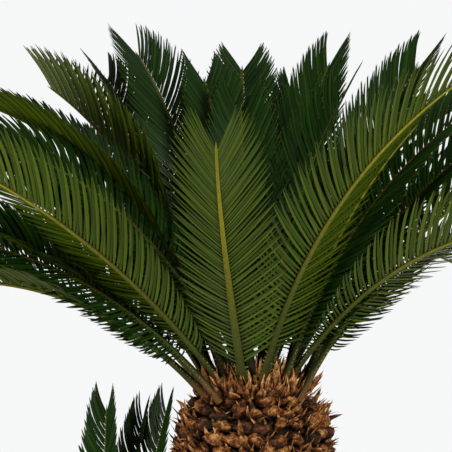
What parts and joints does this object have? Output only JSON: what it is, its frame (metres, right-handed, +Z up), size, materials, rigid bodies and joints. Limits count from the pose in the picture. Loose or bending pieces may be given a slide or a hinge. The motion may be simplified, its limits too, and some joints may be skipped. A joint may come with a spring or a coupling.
{
  "type": "sago palm",
  "caption": "Sago palm, a cycad rooted in the ground: a stout scaly trunk flared at the foot, a full crown of arching feather fronds, and a low offset with its own rosette.",
  "frame": {"origin": "middle of the trunk's flat cut at ground level, where the plant is fixed", "axes": "+Z up along the trunk, +X to the right and -Y to the front, where one frond arches straight out and the offset stands to the left and behind"},
  "size_m": [1.5873, 1.312, 1.1775],
  "materials": {
    "bark": "rough old leaf bases, rusty brown with tan edges and dark gaps",
    "foliage": "leathery leaflets, glossy dark green above and matt yellow-green below, with yellow-green ribs"
  },
  "bodies": {
    "root": {"frond_front": "foliage", "frond_front_left": "foliage", "frond_front_right": "foliage", "frond_inner_front": "foliage", "frond_inner_rear": "foliage", "frond_inner_right": "foliage", "frond_left_back": "foliage", "frond_left_fifth": "foliage", "frond_left_fourth": "foliage", "frond_left_low": "foliage", "frond_left_lowest": "foliage", "frond_left_middle": "foliage", "frond_left_rear": "foliage", "frond_left_second": "foliage", "frond_left_third": "foliage", "frond_left_top": "foliage", "frond_left_upper": "foliage", "frond_outer_1": "foliage", "frond_outer_2": "foliage", "frond_outer_3": "foliage", "frond_outer_4": "foliage", "frond_outer_5": "foliage", "frond_outer_6": "foliage", "frond_outer_7": "foliage", "frond_outer_8": "foliage", "frond_rear": "foliage", "frond_rear_left": "foliage", "frond_rear_right": "foliage", "frond_rear_second": "foliage", "frond_rear_tall": "foliage", "frond_rear_third": "foliage", "frond_right_fourth": "foliage", "frond_right_low": "foliage", "frond_right_lower": "foliage", "frond_right_lowest": "foliage", "frond_right_middle": "foliage", "frond_right_second": "foliage", "frond_right_third": "foliage", "frond_right_top": "foliage", "frond_right_upper": "foliage", "frond_top": "foliage", "offset_frond_back": "foliage", "offset_frond_left": "foliage", "offset_frond_outer_1": "foliage", "offset_frond_outer_2": "foliage", "offset_frond_outer_3": "foliage", "offset_frond_outer_4": "foliage", "offset_frond_outer_5": "foliage", "offset_frond_outer_6": "foliage", "offset_frond_right": "foliage", "offset_trunk": "bark", "trunk": "bark"}
  },
  "joints": []
}
